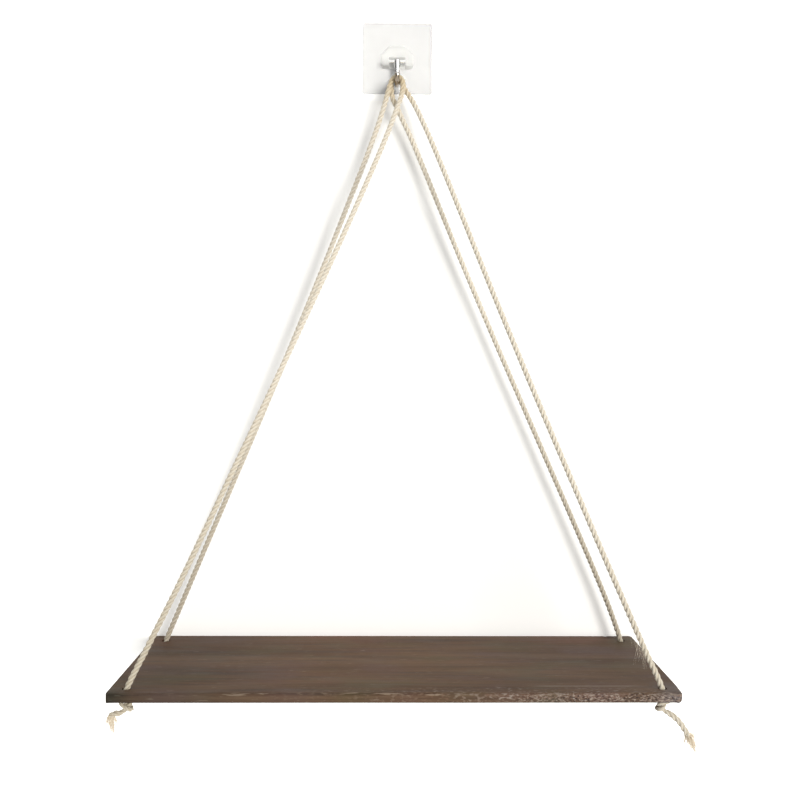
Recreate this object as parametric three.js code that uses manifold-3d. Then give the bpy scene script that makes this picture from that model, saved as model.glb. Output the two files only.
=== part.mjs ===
// Hanging rope shelf: a thin wooden board held by two ropes, which hang from a steel hook that turns in
// a clear moulded boss on an adhesive wall plate.
// Millimetres, +Z up. The wall is the plane y = 0 and the object is in front of it, at negative y.
// The origin is the centre of the adhesive pad's back face.

import * as THREE from 'three';
import { mergeVertices } from 'three/addons/utils/BufferGeometryUtils.js';
import Module from 'manifold-3d';

// Driving dimensions of the board
const boardLength = 415;
const boardDepth = 140;
const boardThickness = 7;
const boardCornerRadius = 3;
const boardEdgeEase = 0.6;
const hangDrop = 498;
const wallClearance = 0.3;
const holeClearance = 1.05;
const holeLean = 0.6;
const holeSideInset = 12;
const holeFrontInset = 11;
const holeRearInset = 13.5;

// Driving dimensions of the wall plate and its boss
const padThickness = 0.6;
const padMargin = 0.8;
const plateSide = 60;
const plateThickness = 1;
const plateCornerRadius = 2;
const bossHeight = 16.5;
const bossTop = 7.5;
const bossChamfer = 7.4;
const bossFootChamfer = 1.5;
const bossEdgeEase = 0.8;
const slotWidth = 13.8;
const slotHeadroom = 0.7;
const slotBackWeb = 2;
const cheekWidth = 6.85;

// Driving dimensions of the steel hook
const pinDiameter = 3.8;
const pinClearance = 0.3;
const pinEndWall = 2.5;
const pinBelowPlateCentre = 4;
const pinFrontCover = 1.5;
const wireDiameter = 4.2;
const hookDrop = 21.5;
const hookBendSpare = 0.55;
const hookTipRise = 0.3;
const hookTipEase = 0.15;
const collarFootEase = 0.3;
const collarDiameter = 6;
const collarLength = 8;
const collarClearance = 0.6;

// Driving dimensions of the ropes
const ropeDiameter = 4.5;
const ropeGap = 0.3;
const seatGap = 0.6;
const knotStrandGap = 0.45;
const bendLeadOut = 4;
const legLeadOut = 1.5;
const frayTipDiameter = 0.6;
const frayLength = 11;
const frayRoot = 1.5;
const cutOverrun = 1;

// Shares: of the rope's diameter, of the knot's pitch and of the fray's length
const knotSqueezeShare = 0.6;
const knotReachShare = 0.97;
const knotGapShare = 0.94;
const frayStrandShare = 0.48;
const frayUnevenShare = 0.3;

// Counts
const ropeSides = 8;
const wireSides = 12;
const roundSides = 24;
const cornerSteps = 6;
const arcSteps = 8;
const legSteps = 3;
const knotSteps = 2;
const knotSides = 6;
const frayStrands = 6;
const fraySides = 5;
const gapSamples = 8;
const knotBendSamples = 36;

// Angles, in radians
const fullTurn = Math.PI * 2;
const halfTurn = Math.PI;
const quarterTurn = Math.PI / 2;
const frayStagger = Math.PI * (3 - Math.sqrt(5));
const fraySpread = 0.42;

// Places worked out from the sizes above
const ropeRadius = ropeDiameter / 2;
const wireRadius = wireDiameter / 2;
const pinRadius = pinDiameter / 2;
const collarRadius = collarDiameter / 2;
const boardTop = -hangDrop;
const boardUnderside = boardTop - boardThickness;
const boardRear = -wallClearance;
const boardFront = boardRear - boardDepth;
const holeRadius = ropeRadius + holeClearance;
const holeX = boardLength / 2 - holeSideInset;
const frontHoleY = boardFront + holeFrontInset;
const rearHoleY = boardRear - holeRearInset;
const plateBack = -padThickness;
const plateFront = plateBack - plateThickness;
const slotBack = plateFront - slotBackWeb;
const pinY = slotBack - collarClearance - collarRadius;
const pinZ = -pinBelowPlateCentre;
const bossFront = pinY - pinRadius - pinFrontCover;
const bossFoot = bossTop - bossHeight;
const bossWidth = slotWidth + cheekWidth * 2;
const boreReach = slotWidth / 2 + cheekWidth - pinEndWall;
const wireZ = pinZ - hookDrop;
const seatRadius = wireRadius + ropeGap + ropeRadius;
const hookBendRadius = seatRadius + hookBendSpare;
const ropeSpacing = ropeDiameter + seatGap;
const hookFlat = ropeSpacing + ropeGap * 2;
const seatMiddleY = pinY - hookBendRadius - hookFlat / 2;
const frontSeatY = seatMiddleY - ropeSpacing / 2;
const rearSeatY = seatMiddleY + ropeSpacing / 2;
const tipY = pinY - hookBendRadius * 2 - hookFlat;

// Materials
function finish(colour, roughness, metalness) {
  return new THREE.MeshStandardMaterial({ color: colour, roughness, metalness });
}

const darkWood = () => finish(0x5d4d3f, 0.7, 0);
const naturalRope = () => finish(0xe6d9bd, 0.95, 0);
const clearPlastic = () => finish(0xf1f2f0, 0.2, 0);
const clearAdhesive = () => finish(0xf4f4f0, 0.4, 0);
const brightSteel = () => finish(0xc4c6c8, 0.2, 1);

// Solids and meshes
const wasm = await Module();
wasm.setup();

function toSolid(geometry) {
  const bare = geometry.clone();
  bare.deleteAttribute('normal');
  bare.deleteAttribute('uv');
  const merged = mergeVertices(bare);
  return new wasm.Manifold(new wasm.Mesh({
    numProp: 3,
    vertProperties: merged.attributes.position.array,
    triVerts: Uint32Array.from(merged.index.array),
  }));
}

function toGeometry(solid) {
  const result = solid.getMesh();
  const geometry = new THREE.BufferGeometry();
  geometry.setAttribute('position', new THREE.BufferAttribute(result.vertProperties, 3));
  geometry.setIndex(new THREE.BufferAttribute(result.triVerts, 1));
  geometry.computeVertexNormals();
  return geometry;
}

const shelf = new THREE.Group();

function addPiece(name, geometry, material) {
  const piece = new THREE.Mesh(geometry, material);
  piece.name = name;
  shelf.add(piece);
  return piece;
}

// A route passes through every one of its points and takes an equal number of steps between each two.
class Route extends THREE.CatmullRomCurve3 {
  getUtoTmapping(share) {
    return share;
  }
}

function roundSection(diameter, sides) {
  const corners = [];
  for (let side = 0; side < sides; side += 1) {
    const turn = (side / sides) * fullTurn;
    corners.push(new THREE.Vector2(Math.cos(turn), Math.sin(turn)).multiplyScalar(diameter / 2));
  }
  return new THREE.Shape(corners);
}

function tube(points, diameter, sides, stepsBetween) {
  const route = new Route(points);
  const steps = (points.length - 1) * stepsBetween;
  return new THREE.ExtrudeGeometry(roundSection(diameter, sides), { extrudePath: route, steps });
}

function spacedAlong(points) {
  return new Route(points).getSpacedPoints((points.length - 1) * gapSamples);
}

// The least gap between two tubes, or between stretches of one tube that lie more than a bend apart.
function leastGap(first, second, diameter, bendSamples) {
  let least = Infinity;
  first.forEach((point, index) => {
    second.forEach((other, otherIndex) => {
      const near = first === second && Math.abs(index - otherIndex) < bendSamples;
      if (!near) {
        least = Math.min(least, point.distanceTo(other));
      }
    });
  });
  return least - diameter;
}

// The board is a rectangle with small corner radii, four drilled holes and eased edges.
function boardOutline() {
  const right = boardLength / 2 - boardEdgeEase;
  const front = boardFront + boardEdgeEase;
  const rear = boardRear - boardEdgeEase;
  const radius = boardCornerRadius - boardEdgeEase;
  const outline = new THREE.Shape();
  outline.absarc(right - radius, front + radius, radius, -quarterTurn, 0);
  outline.absarc(right - radius, rear - radius, radius, 0, quarterTurn);
  outline.absarc(radius - right, rear - radius, radius, quarterTurn, halfTurn);
  outline.absarc(radius - right, front + radius, radius, halfTurn, halfTurn + quarterTurn);
  return outline;
}

function makeBoard() {
  const outline = boardOutline();
  for (const holeY of [frontHoleY, rearHoleY]) {
    for (const side of [-1, 1]) {
      const hole = new THREE.Path();
      hole.absarc(side * holeX, holeY, holeRadius + boardEdgeEase, 0, fullTurn);
      outline.holes.push(hole);
    }
  }
  const geometry = new THREE.ExtrudeGeometry(outline, {
    depth: boardThickness - boardEdgeEase * 2,
    bevelThickness: boardEdgeEase,
    bevelSize: boardEdgeEase,
    bevelSegments: 1,
    curveSegments: cornerSteps,
  });
  geometry.translate(0, 0, boardUnderside + boardEdgeEase);
  addPiece('shelf_board', geometry, darkWood());
}

makeBoard();

// The wall plate is a thin clear square on a slightly smaller adhesive pad.
function squareSheet(side, radius, thickness, backY) {
  const half = side / 2;
  const outline = new THREE.Shape();
  outline.absarc(half - radius, half - radius, radius, 0, quarterTurn);
  outline.absarc(radius - half, half - radius, radius, quarterTurn, halfTurn);
  outline.absarc(radius - half, radius - half, radius, halfTurn, halfTurn + quarterTurn);
  outline.absarc(half - radius, radius - half, radius, -quarterTurn, 0);
  const geometry = new THREE.ExtrudeGeometry(outline, {
    depth: thickness,
    bevelEnabled: false,
    curveSegments: cornerSteps,
  });
  geometry.rotateX(quarterTurn);
  geometry.translate(0, backY, 0);
  return geometry;
}

const padSide = plateSide - padMargin * 2;
addPiece('adhesive_pad', squareSheet(padSide, plateCornerRadius, padThickness, 0), clearAdhesive());
addPiece('hook_plate', squareSheet(plateSide, plateCornerRadius, plateThickness, plateBack),
  clearPlastic());

// The boss is a chamfered block with a slot across its lower front. The hook's crossbar lies in the slot
// and turns in two blind bores in the cheeks beside it.
function bossBlock() {
  const half = bossWidth / 2 - bossEdgeEase;
  const top = bossTop - bossEdgeEase;
  const foot = bossFoot + bossEdgeEase;
  const outline = new THREE.Shape();
  outline.moveTo(half - bossFootChamfer, foot);
  outline.lineTo(half, foot + bossFootChamfer);
  outline.lineTo(half, top - bossChamfer);
  outline.lineTo(half - bossChamfer, top);
  outline.lineTo(bossChamfer - half, top);
  outline.lineTo(-half, top - bossChamfer);
  outline.lineTo(-half, foot + bossFootChamfer);
  outline.lineTo(bossFootChamfer - half, foot);
  const geometry = new THREE.ExtrudeGeometry(outline, {
    depth: plateFront - bossFront - bossEdgeEase,
    bevelThickness: bossEdgeEase,
    bevelSize: bossEdgeEase,
    bevelSegments: 1,
  });
  geometry.rotateX(quarterTurn);
  geometry.translate(0, plateFront, 0);
  return toSolid(geometry);
}

function blockBetween(low, high) {
  const geometry = new THREE.BoxGeometry(high.x - low.x, high.y - low.y, high.z - low.z);
  geometry.translate((high.x + low.x) / 2, (high.y + low.y) / 2, (high.z + low.z) / 2);
  return toSolid(geometry);
}

function barAlongX(radius, reach) {
  const geometry = new THREE.CylinderGeometry(radius, radius, reach * 2, roundSides);
  geometry.rotateZ(quarterTurn);
  geometry.translate(0, pinY, pinZ);
  return toSolid(geometry);
}

function makeBoss() {
  const halfSlot = slotWidth / 2;
  const slotTop = pinZ + pinRadius + slotHeadroom;
  const keep = blockBetween(
    new THREE.Vector3(-bossWidth, bossFront - cutOverrun, bossFoot - cutOverrun),
    new THREE.Vector3(bossWidth, plateFront, bossTop + cutOverrun),
  );
  const slot = blockBetween(
    new THREE.Vector3(-halfSlot, bossFront - cutOverrun, bossFoot - cutOverrun),
    new THREE.Vector3(halfSlot, slotBack, slotTop),
  );
  const bore = barAlongX(pinRadius + pinClearance, boreReach);
  const solid = bossBlock().intersect(keep).subtract(slot).subtract(bore);
  addPiece('hook_boss', toGeometry(solid), clearPlastic());
}

makeBoss();

// The hook is a round wire bent to a J, on a crossbar. A short collar thickens it below the crossbar.
function hookWireRoute() {
  const points = [];
  const addCorner = (centreY, from, to) => {
    for (let step = 0; step <= arcSteps; step += 1) {
      const turn = from + ((to - from) * step) / arcSteps;
      points.push(new THREE.Vector3(
        0,
        centreY + hookBendRadius * Math.cos(turn),
        wireZ + hookBendRadius + hookBendRadius * Math.sin(turn),
      ));
    }
  };
  points.push(new THREE.Vector3(0, pinY, pinZ));
  points.push(new THREE.Vector3(0, pinY, pinZ - collarLength));
  addCorner(pinY - hookBendRadius, 0, -quarterTurn);
  addCorner(tipY + hookBendRadius, -quarterTurn, -halfTurn);
  points.push(new THREE.Vector3(0, tipY, wireZ + hookBendRadius + hookTipRise));
  return points;
}

function makeHook() {
  const wire = toSolid(tube(hookWireRoute(), wireDiameter, wireSides, 1));
  const crossbar = barAlongX(pinRadius, boreReach - pinClearance);
  const collarGeometry = new THREE.LatheGeometry([
    new THREE.Vector2(0, -collarLength),
    new THREE.Vector2(wireRadius - collarFootEase, -collarLength),
    new THREE.Vector2(collarRadius, -pinRadius),
    new THREE.Vector2(collarRadius, 0),
    new THREE.Vector2(0, 0),
  ], wireSides);
  collarGeometry.rotateX(quarterTurn);
  collarGeometry.translate(0, pinY, pinZ);
  const collar = toSolid(collarGeometry);
  const tipGeometry = new THREE.SphereGeometry(wireRadius - hookTipEase, wireSides, wireSides / 2);
  tipGeometry.rotateX(quarterTurn);
  tipGeometry.translate(0, tipY, wireZ + hookBendRadius + hookTipRise);
  const solid = wire.add(crossbar).add(collar).add(toSolid(tipGeometry));
  addPiece('steel_hook', toGeometry(solid), brightSteel());
}

makeHook();

// Each leg of rope is a list of places chosen by hand: the share of the way down, and how far the rope
// bows outwards there, as a share of the leg's length. The left legs sag inwards a little, and the right
// legs are nearly straight.
const rearLeftRouteShares = [
  [0.03, -0.0034], [0.08, -0.0072], [0.14, -0.009], [0.21, -0.0098], [0.29, -0.0107], [0.38, -0.0107],
  [0.48, -0.0098], [0.58, -0.0081], [0.68, -0.006], [0.78, -0.0038], [0.87, -0.0018], [0.94, -0.0006],
];
const frontLeftRouteShares = [
  [0.01, -0.003], [0.02, -0.0046], [0.033, -0.0052], [0.05, -0.0067], [0.08, -0.0088], [0.14, -0.0109],
  [0.21, -0.0121], [0.29, -0.0126], [0.38, -0.0123], [0.48, -0.0114], [0.58, -0.0101], [0.68, -0.0086],
  [0.78, -0.0074], [0.87, -0.0052], [0.94, -0.002],
];
const frontRightRouteShares = [
  [0.03, 0.0046], [0.08, 0.0068], [0.14, 0.0066], [0.21, 0.0053], [0.29, 0.0033], [0.38, 0.0012],
  [0.48, -0.0003], [0.58, -0.0012], [0.68, -0.0014], [0.78, -0.0016], [0.87, -0.0013], [0.94, -0.0007],
];
const rearRightRouteShares = [
  [0.01, -0.003], [0.02, -0.0042], [0.033, -0.003], [0.05, -0.0025], [0.08, -0.0011], [0.14, -0.001],
  [0.21, -0.0016], [0.29, -0.0023], [0.38, -0.0021], [0.48, -0.0013], [0.58, 0.0004], [0.68, 0.0021],
  [0.78, 0.0039], [0.87, 0.0048], [0.94, 0.0041],
];

// A leg ends in its hole. It leans on the side of the hole that faces the hook, and hangs plumb below.
function holeMouth(start, side, holeY) {
  const middle = new THREE.Vector3(side * holeX, holeY, boardTop);
  const lean = start.clone().sub(middle).setZ(0).setLength(holeLean);
  return middle.add(lean);
}

function legPoints(start, side, holeY, routeShares) {
  const mouth = holeMouth(start, side, holeY);
  const length = start.distanceTo(mouth);
  const points = routeShares.map(([downShare, bowShare]) => {
    const point = start.clone().lerp(mouth, downShare);
    point.x += side * bowShare * length;
    return point;
  });
  points.push(mouth);
  points.push(new THREE.Vector3(side * holeX, holeY, boardTop - boardThickness / 2));
  points.push(new THREE.Vector3(side * holeX, holeY, boardUnderside));
  return points;
}

// Each rope serves one side of the board. It runs from the knot under one hole over the hook to the knot
// under the other. One leg leaves the bend along a tangent, on its own side of the hook.
function directLead(side, seatY) {
  const lean = Math.atan2(holeX, wireZ - boardTop);
  const point = new THREE.Vector3(
    side * seatRadius * Math.cos(lean),
    seatY,
    wireZ + seatRadius * Math.sin(lean),
  );
  const along = new THREE.Vector3(side * Math.sin(lean), 0, -Math.cos(lean));
  return { lean, point, along };
}

// The other leg comes down on the far side of the hook and crosses below it to its own side.
function bendPoints(side, seatY) {
  const { lean, point, along } = directLead(side, seatY);
  const points = [];
  points.push(point.clone().addScaledVector(along, bendLeadOut));
  points.push(point.clone().addScaledVector(along, bendLeadOut / 2));
  for (let step = 0; step <= arcSteps * 2; step += 1) {
    const turn = lean + ((halfTurn - lean) * step) / (arcSteps * 2);
    points.push(new THREE.Vector3(
      side * seatRadius * Math.cos(turn),
      seatY,
      wireZ + seatRadius * Math.sin(turn),
    ));
  }
  points.push(new THREE.Vector3(-side * seatRadius, seatY, wireZ - bendLeadOut / 2));
  points.push(new THREE.Vector3(-side * seatRadius, seatY, wireZ - bendLeadOut));
  return points;
}

function directLegPoints(side, seatY, holeY, routeShares) {
  const { point, along } = directLead(side, seatY);
  const start = point.clone().addScaledVector(along, bendLeadOut + ropeGap);
  const next = start.clone().addScaledVector(along, legLeadOut);
  return [start, next, ...legPoints(start, side, holeY, routeShares)];
}

function crossingLegPoints(side, seatY, holeY, routeShares) {
  const start = new THREE.Vector3(-side * seatRadius, seatY, wireZ - bendLeadOut - ropeGap);
  const next = start.clone().setZ(start.z - legLeadOut);
  return [start, next, ...legPoints(start, side, holeY, routeShares)];
}

// The left rope lies in the seat nearer to the room, and its front leg crosses in front of the right
// rope's rear leg.
const leftRope = {
  left_rope_bend: bendPoints(-1, frontSeatY),
  left_rope_rear_leg: directLegPoints(-1, frontSeatY, rearHoleY, rearLeftRouteShares),
  left_rope_front_leg: crossingLegPoints(-1, frontSeatY, frontHoleY, frontLeftRouteShares),
};
const rightRope = {
  right_rope_bend: bendPoints(1, rearSeatY),
  right_rope_front_leg: directLegPoints(1, rearSeatY, frontHoleY, frontRightRouteShares),
  right_rope_rear_leg: crossingLegPoints(1, rearSeatY, rearHoleY, rearRightRouteShares),
};

for (const [name, points] of Object.entries({ ...leftRope, ...rightRope })) {
  const stepsBetween = name.endsWith('bend') ? 1 : legSteps;
  addPiece(name, tube(points, ropeDiameter, ropeSides, stepsBetween), naturalRope());
}
const leftCourse = Object.values(leftRope).flatMap(spacedAlong);
const rightCourse = Object.values(rightRope).flatMap(spacedAlong);
const ropesApart = leastGap(leftCourse, rightCourse, ropeDiameter, 0);
console.log(`least gap between the two ropes: ${ropesApart.toFixed(2)} mm`);

// A stopper knot is an overhand knot, pulled tight. Half of its course, from the middle outwards, is the
// turn about the knot's axis in degrees, and the radius and height in shares of the knot's pitch. The
// other half mirrors it.
const knotCourseShares = [
  [0, 0.95, 0], [31, 1.08, -0.315], [60, 1.155, -0.665], [92, 1.155, -0.91], [129, 1.145, -0.97],
  [165, 1.155, -0.81], [194, 1.155, -0.46], [218, 0.925, -0.05], [243, 0.46, 0.305], [260, 0.065, 0.78],
];
const knotStrandDiameter = ropeDiameter * knotSqueezeShare;
const knotPitch = (knotStrandDiameter + knotStrandGap) / knotGapShare;
const knotHalfHeight = knotPitch * knotReachShare + knotStrandDiameter / 2;

// The knot is turned about its axis by an angle, so that its free end points where its tail goes.
function knotPoints(centre, angle) {
  const half = knotCourseShares.map(([degrees, radiusShare, heightShare]) => {
    const turn = quarterTurn + THREE.MathUtils.degToRad(degrees);
    return new THREE.Vector3(
      knotPitch * radiusShare * Math.cos(turn),
      knotPitch * radiusShare * Math.sin(turn),
      knotPitch * heightShare,
    );
  });
  const lower = half.slice(1).reverse().map(({ x, y, z }) => new THREE.Vector3(-x, y, -z));
  const upper = [...half, new THREE.Vector3(0, 0, knotHalfHeight)];
  const upright = new THREE.Vector3(0, 0, 1);
  return [...lower, ...upper].map((point) => point.applyAxisAngle(upright, angle).add(centre));
}

// A tail is a short end of rope below its knot, with the twist undone at the cut end: its strands fan out.
function fraySolid(tip, along) {
  const upright = new THREE.Vector3(0, 1, 0);
  let solid = null;
  for (let strand = 0; strand < frayStrands; strand += 1) {
    const spread = fraySpread * Math.sqrt(strand / (frayStrands - 1));
    const length = frayLength * (1 - frayUnevenShare * Math.sin(strand * quarterTurn) ** 2);
    const geometry = new THREE.CylinderGeometry(
      frayTipDiameter / 2, ropeRadius * frayStrandShare, length, fraySides);
    geometry.translate(0, length / 2 - frayRoot, 0);
    geometry.rotateX(spread);
    geometry.rotateY(strand * frayStagger);
    geometry.applyQuaternion(new THREE.Quaternion().setFromUnitVectors(upright, along));
    geometry.translate(tip.x, tip.y, tip.z);
    const one = toSolid(geometry);
    solid = solid ? solid.add(one) : one;
  }
  return solid;
}

function makeTail(name, points) {
  const tip = points[points.length - 1];
  const along = tip.clone().sub(points[points.length - 2]).normalize();
  const rope = toSolid(tube(points, ropeDiameter, ropeSides, 2));
  addPiece(name, toGeometry(rope.add(fraySolid(tip, along))), naturalRope());
}

// The route of each tail, chosen by hand, in shares of the rope's diameter: to the right, to the rear and
// down from the knot's free end. The angle in degrees turns the knot to suit.
const tailRouteShares = {
  front_left: {
    angle: 158,
    places: [[0, 0, 0], [-0.42, -0.05, 0.4], [-1.1, -0.12, 0.62], [-1.85, -0.18, 0.66],
      [-2.35, -0.2, 0.84], [-2.42, -0.2, 1.2]],
  },
  front_right: {
    angle: -38,
    places: [[0, 0, 0], [0.45, -0.06, 0.44], [1.35, -0.2, 0.85], [2.3, -0.33, 1.45], [3, -0.44, 2.3],
      [3.6, -0.5, 3.25], [4.15, -0.55, 4.25]],
  },
  rear_left: {
    angle: 150,
    places: [[0, 0, 0], [-0.42, 0, 0.45], [-1, 0.02, 1.05], [-1.5, 0.04, 1.85], [-1.8, 0.05, 2.7]],
  },
  rear_right: {
    angle: -30,
    places: [[0, 0, 0], [0.42, 0, 0.45], [1.1, 0.02, 1], [1.9, 0.04, 1.6], [2.6, 0.05, 2.4]],
  },
};

for (const [place, { angle, places }] of Object.entries(tailRouteShares)) {
  const [row, sideName] = place.split('_');
  const side = sideName === 'left' ? -1 : 1;
  const holeY = row === 'front' ? frontHoleY : rearHoleY;
  const centre = new THREE.Vector3(side * holeX, holeY, boardUnderside - ropeGap - knotHalfHeight);
  const points = knotPoints(centre, THREE.MathUtils.degToRad(angle));
  addPiece(`${place}_knot`, tube(points, knotStrandDiameter, knotSides, knotSteps), naturalRope());
  const freeEnd = points[0].clone();
  const outwards = freeEnd.clone().sub(points[1]).normalize();
  const root = freeEnd.addScaledVector(outwards, ropeGap);
  const tail = places.map(([right, rearwards, down]) => {
    const step = new THREE.Vector3(right, rearwards, -down).multiplyScalar(ropeDiameter);
    return step.add(root);
  });
  makeTail(`${place}_tail`, tail);
  const course = spacedAlong(points);
  const knotGap = leastGap(course, course, knotStrandDiameter, knotBendSamples);
  console.log(`least gap inside the ${row} ${sideName} knot: ${knotGap.toFixed(2)} mm`);
}

export default shelf;
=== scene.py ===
import math
import random

import bmesh
import bpy
from mathutils import Matrix, Vector, noise
from mathutils.geometry import interpolate_bezier


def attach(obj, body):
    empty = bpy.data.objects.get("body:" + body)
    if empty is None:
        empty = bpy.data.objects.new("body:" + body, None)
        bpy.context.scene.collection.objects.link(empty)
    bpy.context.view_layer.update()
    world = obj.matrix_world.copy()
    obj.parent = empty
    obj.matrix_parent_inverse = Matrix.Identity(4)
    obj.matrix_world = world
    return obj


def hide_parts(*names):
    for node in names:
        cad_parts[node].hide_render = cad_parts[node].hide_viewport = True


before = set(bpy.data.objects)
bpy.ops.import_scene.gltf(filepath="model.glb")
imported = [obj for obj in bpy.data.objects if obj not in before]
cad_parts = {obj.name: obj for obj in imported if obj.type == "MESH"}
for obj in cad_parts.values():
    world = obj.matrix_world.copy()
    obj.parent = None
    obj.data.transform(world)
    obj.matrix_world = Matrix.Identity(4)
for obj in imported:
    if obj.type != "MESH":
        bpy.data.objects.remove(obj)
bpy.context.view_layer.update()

# The room: a white wall and a pale floor. A wide key light stands to the right, and even light comes from
# all round, most of it from above. The camera stands some 77 cm from the wall. Both sheets show from their
# front side only, so the shelf can be seen from behind as well.

def add(tree, kind, inputs=None, **settings):
    """A new shader node, with its settings and what goes into its sockets."""
    made = tree.nodes.new("ShaderNode" + kind)
    for name, value in settings.items():
        setattr(made, name, value)
    for name, value in (inputs or {}).items():
        if isinstance(value, bpy.types.NodeSocket):
            tree.links.new(value, made.inputs[name])
        else:
            made.inputs[name].default_value = value
    return made


def link_object(name, data):
    made = bpy.data.objects.new(name, data)
    bpy.context.scene.collection.objects.link(made)
    return made


def sees_backdrop(tree, rays):
    """1 for the kinds of ray named, 0 for the rest."""
    path = add(tree, "LightPath")
    total = path.outputs[rays[0]]
    for ray in rays[1:]:
        total = add(tree, "Math", {0: total, 1: path.outputs[ray]}, operation="MAXIMUM").outputs[0]
    return total


def backdrop_material(name, colour, glow, steady, extra=()):
    """Paint that glows a little for the camera. Each extra gives a height where the glow starts to rise,
    one where it is full, and how much more it is there."""
    material = bpy.data.materials.new(name)
    material.use_nodes = True
    material.cycles.emission_sampling = "NONE"
    tree = material.node_tree
    tree.nodes.clear()
    paint = add(tree, "BsdfDiffuse", {"Color": colour})
    height = add(tree, "SeparateXYZ", {0: add(tree, "NewGeometry").outputs["Position"]}).outputs[2]
    for start, end, more in extra:
        rise = add(tree, "MapRange", {"Value": height, "From Min": start, "From Max": end,
                                      "To Max": more}).outputs[0]
        glow = add(tree, "Math", {0: glow, 1: rise}).outputs[0]
    light = add(tree, "Emission", {"Color": colour, "Strength": glow})
    shown = add(tree, "AddShader", {0: paint.outputs[0], 1: light.outputs[0]})
    even = add(tree, "Emission", {"Color": colour, "Strength": steady})
    seen = sees_backdrop(tree, ("Is Camera Ray", "Is Glossy Ray", "Is Transmission Ray"))
    front = add(tree, "MixShader", {0: seen, 1: even.outputs[0], 2: shown.outputs[0]})
    behind = add(tree, "NewGeometry").outputs["Backfacing"]
    open_back = add(tree, "BsdfTransparent")
    whole = add(tree, "MixShader", {0: behind, 1: front.outputs[0], 2: open_back.outputs[0]})
    add(tree, "OutputMaterial", {"Surface": whole.outputs[0]})
    return material


def add_sheet(name, size, turn, place, material):
    bm = bmesh.new()
    bmesh.ops.create_grid(bm, x_segments=1, y_segments=1, size=size)
    bmesh.ops.transform(bm, matrix=Matrix.Translation(place) @ turn, verts=bm.verts)
    mesh = bpy.data.meshes.new(name)
    bm.to_mesh(mesh)
    bm.free()
    mesh.materials.append(material)
    link_object(name, mesh)


floor_level = -1.0
wall_gap = 0.0004
room_size = 2.5
wall_white, floor_white, pure_white = (0.93, 0.925, 0.903, 1), (0.9, 0.9, 0.9, 1), (1, 1, 1, 1)
wall_glow, floor_glow, steady_glow = 0.065, 0.4, 0.8
# Painted light on the wall: in three bands, above and under the board and round the plate, its glow rises and
# washes out the shade and shadows that fall there.
painted_light_above_board, painted_light_below_board, painted_light_round_plate = (-0.36, -0.49, 0.07), (-0.5, -0.545, 0.6), (-0.036, -0.024, 0.42)
wall_paint = backdrop_material("wall_paint", wall_white, wall_glow, steady_glow,
                               (painted_light_above_board, painted_light_below_board, painted_light_round_plate))
floor_paint = backdrop_material("floor_paint", floor_white, floor_glow, steady_glow)
add_sheet("wall", room_size, Matrix.Rotation(math.pi / 2, 4, "X"),
          (0, wall_gap, floor_level + room_size), wall_paint)
add_sheet("floor", room_size, Matrix.Identity(4), (0, wall_gap - room_size, floor_level), floor_paint)

world = bpy.data.worlds.new("room")
world.use_nodes = True
room = world.node_tree
room.nodes.clear()
direction = add(room, "SeparateXYZ", {0: add(room, "TexCoord").outputs["Generated"]}).outputs
overhead = add(room, "MapRange", {"Value": direction[2], "From Min": 0.1, "From Max": 0.9,
                                  "To Min": 0.4, "To Max": 0.85}).outputs[0]
even_light = add(room, "Background", {"Color": pure_white, "Strength": overhead})
white_room = add(room, "Background", {"Color": pure_white, "Strength": 1.0})
room_seen = sees_backdrop(room, ("Is Camera Ray", "Is Glossy Ray", "Is Transmission Ray"))
aside = add(room, "Math", {0: direction[0]}, operation="ABSOLUTE").outputs[0]
side_shade = add(room, "MapRange", {"Value": aside, "From Min": 0.3, "From Max": 0.7,
                                    "To Min": 1.0, "To Max": 0.08}).outputs[0]
reflected = add(room, "Background", {"Color": pure_white, "Strength": side_shade})
glossy = add(room, "LightPath").outputs["Is Glossy Ray"]
white_room = add(room, "MixShader", {0: glossy, 1: white_room.outputs[0], 2: reflected.outputs[0]})
room_mix = add(room, "MixShader", {0: room_seen, 1: even_light.outputs[0], 2: white_room.outputs[0]})
add(room, "OutputWorld", {"Surface": room_mix.outputs[0]})
bpy.context.scene.world = world

key_data = bpy.data.lights.new("key", "SUN")
key_data.energy = 2.35
key_data.angle = math.radians(26)
key_data.color = (1, 0.985, 0.96)
key = link_object("key", key_data)
key_travel = Vector((-0.58, 1, -0.14))
key.rotation_euler = key_travel.to_track_quat("-Z", "Y").to_euler()

camera_data = bpy.data.cameras.new("camera")
camera_data.sensor_width = 36
camera_data.lens = 40.14
camera_data.clip_start = 0.01
camera = link_object("camera", camera_data)
eye = (-0.0081, -0.7726, -0.2675)
turn_right, tip_up, roll = (math.radians(angle) for angle in (0.9, -1.8, 0.3))
camera.matrix_world = (
    Matrix.Translation(eye) @ Matrix.Rotation(-turn_right, 4, "Z")
    @ Matrix.Rotation(math.pi / 2 + tip_up, 4, "X") @ Matrix.Rotation(roll, 4, "Z"))
bpy.context.scene.camera = camera
bpy.context.scene.view_settings.view_transform = "Standard"

# The adhesive pad: a square of clear, slightly cloudy gel with faint smears. It holds the plate to the
# wall.

def new_material(name):
    material = bpy.data.materials.new(name)
    material.use_nodes = True
    tree = material.node_tree
    return material, tree, tree.nodes["Principled BSDF"]


def put(tree, shader, **sockets):
    """Set or link sockets of a shader, named with _ for spaces."""
    for name, value in sockets.items():
        socket = shader.inputs[name.replace("_", " ")]
        if isinstance(value, bpy.types.NodeSocket):
            tree.links.new(value, socket)
        else:
            socket.default_value = value


def on_object(tree, scale):
    """The piece's own place in metres, stretched by a scale for each axis."""
    place = add(tree, "TexCoord").outputs["Object"]
    return add(tree, "Mapping", {"Vector": place, "Scale": scale}).outputs[0]


def speckle(tree, vector, scale, detail=2.0, distortion=0.0):
    return add(tree, "TexNoise", {"Vector": vector, "Scale": scale, "Detail": detail,
                                  "Distortion": distortion}).outputs[0]


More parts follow.
